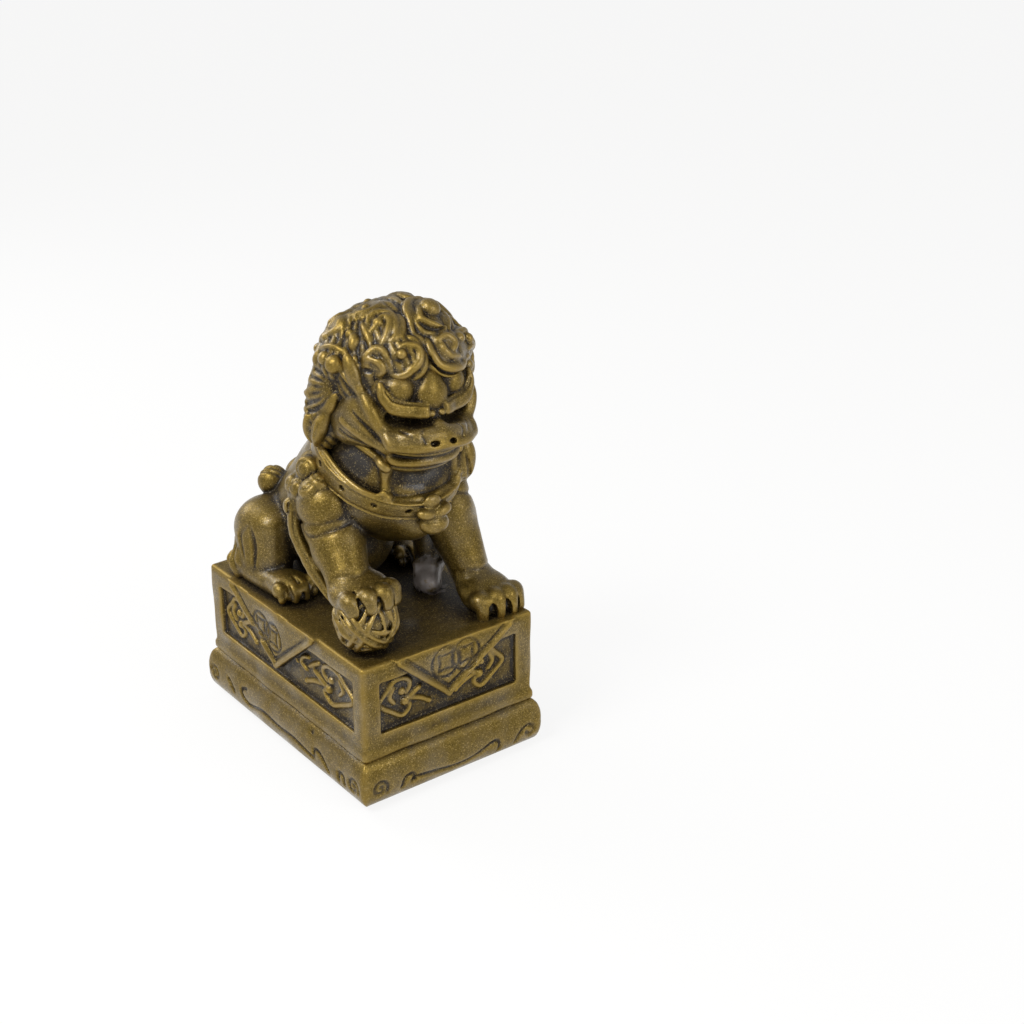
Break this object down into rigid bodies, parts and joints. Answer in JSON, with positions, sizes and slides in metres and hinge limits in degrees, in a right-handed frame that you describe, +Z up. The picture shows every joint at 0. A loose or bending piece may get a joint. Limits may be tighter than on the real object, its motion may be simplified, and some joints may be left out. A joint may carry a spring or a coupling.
{
  "type": "foo dog statue",
  "caption": "Small seated guardian lion with a ball under its paw, on a draped rectangular plinth, cast in resin with an antique bronze finish.",
  "frame": {"origin": "centre of the underside, on the surface that the statue stands on", "axes": "+Z up, the lion faces -Y, +X is the lion's own left"},
  "size_m": [0.0536, 0.076, 0.1165],
  "materials": {
    "bronze_resin": "cold-cast resin with antiqued bronze paint, dark wash in the hollows, satin to glossy lacquer",
    "felt": "dark self-adhesive felt"
  },
  "bodies": {
    "root": {"base_felt": "felt", "brocade_ball": "bronze_resin", "brow_centre": "bronze_resin", "brow_left": "bronze_resin", "brow_right": "bronze_resin", "chest": "bronze_resin", "cloth_back": "bronze_resin", "cloth_front": "bronze_resin", "cloth_left": "bronze_resin", "cloth_right": "bronze_resin", "collar_band": "bronze_resin", "collar_bell": "bronze_resin", "collar_knot": "bronze_resin", "crown_curls": "bronze_resin", "ear_left": "bronze_resin", "ear_right": "bronze_resin", "elbow_tuft_left": "bronze_resin", "elbow_tuft_right": "bronze_resin", "eyelid_left": "bronze_resin", "eyelid_right": "bronze_resin", "foreleg_left": "bronze_resin", "foreleg_right": "bronze_resin", "forelock_left": "bronze_resin", "forelock_right": "bronze_resin", "forepaw_left": "bronze_resin", "forepaw_right": "bronze_resin", "haunch_left": "bronze_resin", "haunch_right": "bronze_resin", "head": "bronze_resin", "hind_paw_left": "bronze_resin", "hind_paw_right": "bronze_resin", "hock_tuft_left": "bronze_resin", "hock_tuft_right": "bronze_resin", "lower_jaw": "bronze_resin", "mane_cap": "bronze_resin", "mane_nape": "bronze_resin", "muzzle": "bronze_resin", "neck": "bronze_resin", "nose": "bronze_resin", "plinth_block": "bronze_resin", "plinth_foot": "bronze_resin", "plinth_step": "bronze_resin", "scroll_back_a": "bronze_resin", "scroll_back_b": "bronze_resin", "scroll_front_a": "bronze_resin", "scroll_front_b": "bronze_resin", "scroll_left_a": "bronze_resin", "scroll_left_b": "bronze_resin", "scroll_right_a": "bronze_resin", "scroll_right_b": "bronze_resin", "shoulder_curls_left": "bronze_resin", "shoulder_curls_right": "bronze_resin", "shoulder_left": "bronze_resin", "shoulder_right": "bronze_resin", "side_locks_left": "bronze_resin", "side_locks_right": "bronze_resin", "tail": "bronze_resin", "tail_curl_left": "bronze_resin", "tail_curl_right": "bronze_resin", "torso": "bronze_resin"}
  },
  "joints": []
}
